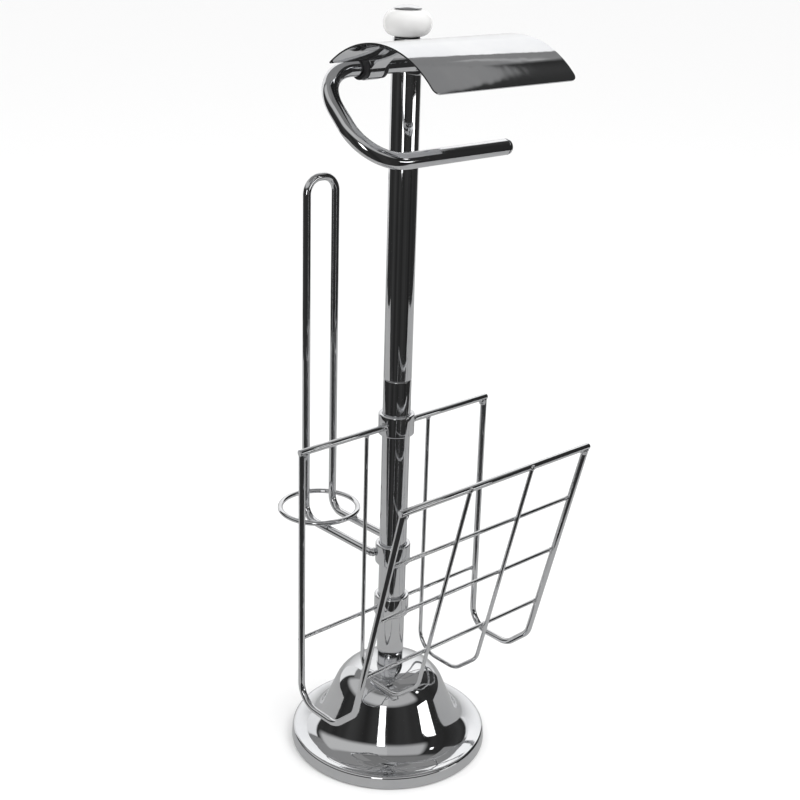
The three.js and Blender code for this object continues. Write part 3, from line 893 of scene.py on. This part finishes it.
def build_rack_side(side, sign):
    """One side's wires and bars; gives back the shapes of its welds."""
    top_z = RACK_FRONT_TOP.z
    back_z = RACK_BACK_TOP_Z
    outer_x = sign * RACK_HALF_WIDTH
    inner_x = sign * RACK_INNER_X
    outer_tuck = 0.9  # the side wires stop this far below the middles of the bars
    outer_ends = (top_z - outer_tuck, back_z - outer_tuck)
    inner_ends = (top_z + 1.6, back_z - 1.2)
    outer = rack_wire(outer_x, FRAME_WIRE, 0, *outer_ends, FRAME_SIDES)
    inner = rack_wire(inner_x, GRID_WIRE, GRID_PROUD, *inner_ends, GRID_SIDES)
    piece(f"fine_rack_side_wire_{side}", outer, f"rack_side_wire_{side}")
    piece(f"fine_rack_inner_wire_{side}", inner, f"rack_inner_wire_{side}")

    drop = 2  # a weld's middle is this far below its bar's
    top_spot = 2.1
    side_spot = 1.9
    weld_x = sign * (RACK_HALF_WIDTH - 1.3)  # mostly on the wire's inner side
    welds = [
        bead((weld_x, front_y(top_z - drop), top_z - drop), (0, FRONT_SLOPE, 1), FRAME_WIRE),
        spot((inner_x, RACK_FRONT_TOP.y - 1.5, top_z - 0.2), TO_BACK, top_spot),
        bead((weld_x, RACK_BACK_Y, back_z - drop), UP, FRAME_WIRE),
        bead((inner_x, RACK_BACK_Y, back_z - drop), UP, GRID_WIRE),
    ]

    in_collar_x = sign * (COLLAR_RADIUS - 0.6)
    to_pole = (-sign, 0, 0)
    start = (in_collar_x, RACK_BACK_Y, back_z)
    end = (sign * (RACK_HALF_WIDTH + FRAME_WIRE), RACK_BACK_Y, back_z)
    straight_wire(f"rack_back_bar_{side}", start, end, FRAME_WIRE, FRAME_SIDES)
    welds.append(bead((sign * (COLLAR_RADIUS - 0.2), RACK_BACK_Y, back_z), to_pole, FRAME_WIRE))

    wire_y = RACK_BACK_Y + 2 * GRID_WIRE + GAP
    wire_z = RACK_BACK_WIRE_Z
    start = (in_collar_x, wire_y, wire_z)
    end = (sign * (RACK_HALF_WIDTH - 1), wire_y, wire_z)
    straight_wire(f"rack_back_wire_{side}", start, end, GRID_WIRE, GRID_SIDES)
    welds += [
        bead((sign * (COLLAR_RADIUS - 0.4), wire_y, wire_z), to_pole, GRID_WIRE),
        spot((outer_x - sign * 1.2, wire_y - 0.6, wire_z), (1, 0, 0), side_spot),
        spot((inner_x, RACK_BACK_Y + GRID_PROUD, wire_z), TO_BACK, GRID_SPOT),
    ]

    for z in RACK_FRONT_WIRE_ZS.values():
        end = (sign * (RACK_HALF_WIDTH - 1.9), front_y(z) + GRID_PROUD * 0.7, z)
        welds.append(bead(end, (sign, 0, 0), GRID_WIRE))
        welds.append(spot((inner_x, front_y(z), z), TO_BACK, GRID_SPOT))
    return welds


def build_rack_front():
    start_x, end_x = RACK_TOP_BAR_ENDS
    start = (start_x, RACK_FRONT_TOP.y, RACK_FRONT_TOP.z)
    end = (end_x, RACK_FRONT_TOP.y, RACK_FRONT_TOP.z)
    straight_wire("rack_front_top_bar", start, end, FRAME_WIRE, FRAME_SIDES)
    reach = RACK_HALF_WIDTH - 1.6
    for level, z in RACK_FRONT_WIRE_ZS.items():
        start = (-reach, front_y(z) + GRID_PROUD, z)
        end = (reach, front_y(z) + GRID_PROUD, z)
        straight_wire(f"rack_front_wire_{level}", start, end, GRID_WIRE, GRID_SIDES)


def build_rack():
    welds = build_rack_side("left", -1) + build_rack_side("right", 1)
    build_rack_front()
    piece("rack_welds", merged(*welds), slot="chrome", body="stand")
    build_collar("rack_upper_collar", RACK_BACK_TOP_Z)
    build_collar("rack_lower_collar", RACK_BACK_WIRE_Z)


# ---- Stage, light and camera --------------------------------------------------------------------

AWAY = Vector((0.680, 0.733, 0))  # level, from the camera towards the stand
RIGHT = Vector((0.733, -0.680, 0))


def sheet(name, profile, half_width, shades):
    """A sheet along a (distance, height) profile in metres, its colour changing with height: painted
    shade, darker low down and lighter higher up, as if the sheet were lit from above.
    """
    sides = (-half_width, half_width)
    points = [AWAY * far + RIGHT * side + UP * high for far, high in profile for side in sides]
    faces = [[k, k + 1, k + 3, k + 2] for k in range(0, len(points) - 2, 2)]
    mesh = bpy.data.meshes.new(name)
    mesh.from_pydata(points, [], faces)
    made = bpy.data.objects.new(name, mesh)
    scene.collection.objects.link(made)
    pale = Shader(f"pale_{name}")
    height = pale.nodes.new("ShaderNodeSeparateXYZ")
    pale.links.new(pale.place, height.inputs[0])
    # Painted shade: the colour goes from the lower shade at the bottom to the upper one at this
    # height, as if the sheet were lit from above.
    fully_lit_z = 1.1
    rise = pale.span(height.outputs["Z"], 0, fully_lit_z)
    cloud = pale.span(pale.noise(scale=3, detail=2), 0, 1, -0.02, 0.02)
    low, high = [(shade, shade, shade) for shade in shades]
    pale.join(pale.blend(pale.sum(rise, cloud), low, high), "Base Color")
    pale.set(Roughness=0.9)
    mesh.materials.append(pale.material)
    return made


def build_floor():
    """The floor that is seen, and the smaller, duller backdrop that only the chrome reflects, which
    carries painted shade: dark grey at its foot and near white higher up.
    """
    floor = sheet("floor", [(-3, 0), (12, 0)], half_width=9, shades=(0.92, 0.94))
    floor.visible_glossy = False

    bend = 0.4
    foot = 1.1
    turns = [math.pi / 2 * k / 12 for k in range(13)]
    cove = [(foot + bend * math.sin(turn), bend * (1 - math.cos(turn))) for turn in turns]
    profile = [(-0.2, 0), *cove, (foot + bend, 1.85)]
    # The backdrop's two shades are painted light: 0.45 at its foot and 0.9 higher up stand in for a
    # sweep lit from above.
    backdrop = sheet("backdrop", profile, half_width=0.95, shades=(0.45, 0.9))
    backdrop.visible_camera = False
    backdrop.visible_diffuse = False
    backdrop.visible_shadow = False


class World:
    """The studio as the chrome sees it, by azimuth to the right of straight ahead and by elevation."""

    def __init__(self):
        world = bpy.data.worlds.new("studio")
        scene.world = world
        world.use_nodes = True
        self.nodes = world.node_tree.nodes
        self.links = world.node_tree.links
        self.background = self.nodes["Background"]
        self.direction = self.nodes.new("ShaderNodeTexCoord").outputs["Generated"]
        level = self.calc("ARCTAN2", self.dot(RIGHT), self.dot(AWAY))
        degrees = 180 / math.pi
        self.azimuth = self.calc("MULTIPLY", level, degrees)
        rise = self.calc("ARCSINE", self.dot(UP))
        self.elevation = self.calc("MULTIPLY", rise, degrees)

    def dot(self, vector):
        node = self.nodes.new("ShaderNodeVectorMath")
        node.operation = "DOT_PRODUCT"
        self.links.new(self.direction, node.inputs[0])
        node.inputs[1].default_value = vector
        return node.outputs["Value"]

    def calc(self, operation, *values):
        node = self.nodes.new("ShaderNodeMath")
        node.operation = operation
        for socket, value in zip(node.inputs, values):
            if isinstance(value, (int, float)):
                socket.default_value = value
            else:
                self.links.new(value, socket)
        return node.outputs[0]

    def step(self, value, edge, soft, rising=True):
        """0 to 1 across an edge, or 1 to 0."""
        node = self.nodes.new("ShaderNodeMapRange")
        node.interpolation_type = "SMOOTHSTEP"
        node.inputs["From Min"].default_value = edge - soft
        node.inputs["From Max"].default_value = edge + soft
        node.inputs["To Min"].default_value = 0 if rising else 1
        node.inputs["To Max"].default_value = 1 if rising else 0
        self.links.new(value, node.inputs["Value"])
        return node.outputs["Result"]

    def window(self, azimuths, elevations, soft):
        """1 inside a range of azimuths and elevations, 0 outside."""

        def within(value, limits):
            low = self.step(value, limits[0], soft)
            high = self.step(value, limits[1], soft, rising=False)
            return self.calc("MULTIPLY", low, high)

        across = within(self.azimuth, azimuths)
        along = within(self.elevation, elevations)
        return self.calc("MULTIPLY", across, along)


# What the chrome sees round it, in degrees: (azimuths), (elevations), soft edge, brightness.
ROOM_PATCHES = (
    ((-60, 37), (36, 76), 3, 0.25),  # the ceiling past the backdrop
    ((-130, 75), (43.2, 76), 0.7, 0.27),  # a wider ceiling panel
    ((25, 36), (40, 42), 1, 0.42),  # a thin bright slit under the panel
    ((-200, 200), (56, 95), 5, 0.20),  # overhead
    ((-200, -60), (23, 55), 7, 0.54),  # the wall on the left
    ((115, 200), (23, 55), 7, 0.46),  # the wall on the right, behind the camera
    ((-52, 36), (-95, 36), 2, 0.90),  # the white ahead and below
)
STREAK_GLOW = 0.08
STREAK_FLOOR = 0.01
SEEN_WHITE = 1.08


def build_world():
    """A dark room with grey and white patches for the chrome; all white to everything else."""
    room = World()
    streaks = room.nodes.new("ShaderNodeTexNoise")
    streaks.noise_dimensions = "1D"
    streaks.inputs["Scale"].default_value = 0.03
    streaks.inputs["Detail"].default_value = 1
    room.links.new(room.azimuth, streaks.inputs["W"])
    level = room.calc("MULTIPLY", streaks.outputs["Fac"], STREAK_GLOW)
    level = room.calc("SUBTRACT", level, STREAK_FLOOR)
    for azimuths, elevations, soft, glow in ROOM_PATCHES:
        patch = room.calc("MULTIPLY", room.window(azimuths, elevations, soft), glow)
        level = room.calc("MAXIMUM", level, patch)
    path = room.nodes.new("ShaderNodeLightPath")
    shown = room.nodes.new("ShaderNodeMix")
    shown.inputs["A"].default_value = SEEN_WHITE
    room.links.new(path.outputs["Is Glossy Ray"], shown.inputs["Factor"])
    room.links.new(level, shown.inputs["B"])
    room.links.new(shown.outputs["Result"], room.background.inputs["Color"])
    room.background.inputs["Strength"].default_value = 1.0


LIGHT_TARGET_Z = 0.05


def softbox(name, azimuth, elevation, distance, size, glow):
    """A rectangular area light of a given brightness, placed by its direction from the base."""
    across = math.radians(azimuth)
    above = math.radians(elevation)
    level = AWAY * math.cos(across) + RIGHT * math.sin(across)
    toward = level * math.cos(above) + UP * math.sin(above)
    target = UP * LIGHT_TARGET_Z
    width, height = size
    light = bpy.data.lights.new(name, "AREA")
    light.shape = "RECTANGLE"
    light.size = width
    light.size_y = height
    light.energy = glow * math.pi * width * height
    lamp = bpy.data.objects.new(name, light)
    lamp.location = target + toward * distance
    lamp.rotation_mode = "QUATERNION"
    lamp.rotation_quaternion = (-toward).to_track_quat("-Z", "Y")
    lamp.visible_camera = False
    scene.collection.objects.link(lamp)
    return lamp


def build_lights():
    """Three lights that the chrome shows as highlights, and one that it doesn't."""
    softbox("strip_light", azimuth=-170, elevation=14, distance=1.9, size=(0.38, 0.67), glow=2.6)
    softbox("side_light", azimuth=109.5, elevation=5, distance=2.6, size=(1.05, 0.31), glow=2.4)
    softbox("small_light", azimuth=102.5, elevation=38.5, distance=1.7, size=(0.14, 0.14), glow=2.4)
    key = softbox("key_light", azimuth=120, elevation=50, distance=2.2, size=(1.2, 1.2), glow=3.5)
    key.visible_glossy = False


CAMERA_PLACE = (-0.6340, -0.6872, 0.6337)
CAMERA_ANGLES = (42.83, 20.55, 1.67)  # to the right of +Y, down, and rolled, in degrees
CAMERA_LENS = 61.81
CAMERA_SENSOR = 36


def build_camera():
    """The camera stands in front of the rack's left side and looks a little down."""
    yaw, pitch, roll = [math.radians(angle) for angle in CAMERA_ANGLES]
    run = math.cos(pitch)
    ahead = Vector((math.sin(yaw) * run, math.cos(yaw) * run, -math.sin(pitch)))
    level = Vector((math.cos(yaw), -math.sin(yaw), 0))
    upright = level.cross(ahead)
    right = math.cos(roll) * level + math.sin(roll) * upright
    up = math.cos(roll) * upright - math.sin(roll) * level
    data = bpy.data.cameras.new("camera")
    data.lens = CAMERA_LENS
    data.sensor_width = CAMERA_SENSOR
    camera = bpy.data.objects.new("camera", data)
    turn = Matrix((right, up, -ahead)).transposed().to_4x4()
    camera.matrix_world = Matrix.Translation(CAMERA_PLACE) @ turn
    scene.collection.objects.link(camera)
    scene.camera = camera


build_camera()
build_base()
build_pole()
build_neck()
build_knob()
build_knob_cap()
build_arm()
build_arm_bracket()
build_hood()
build_spare_roll_loop()
build_rack()
build_floor()
build_world()
build_lights()
scene.view_settings.view_transform = "Standard"

bpy.context.view_layer.update()
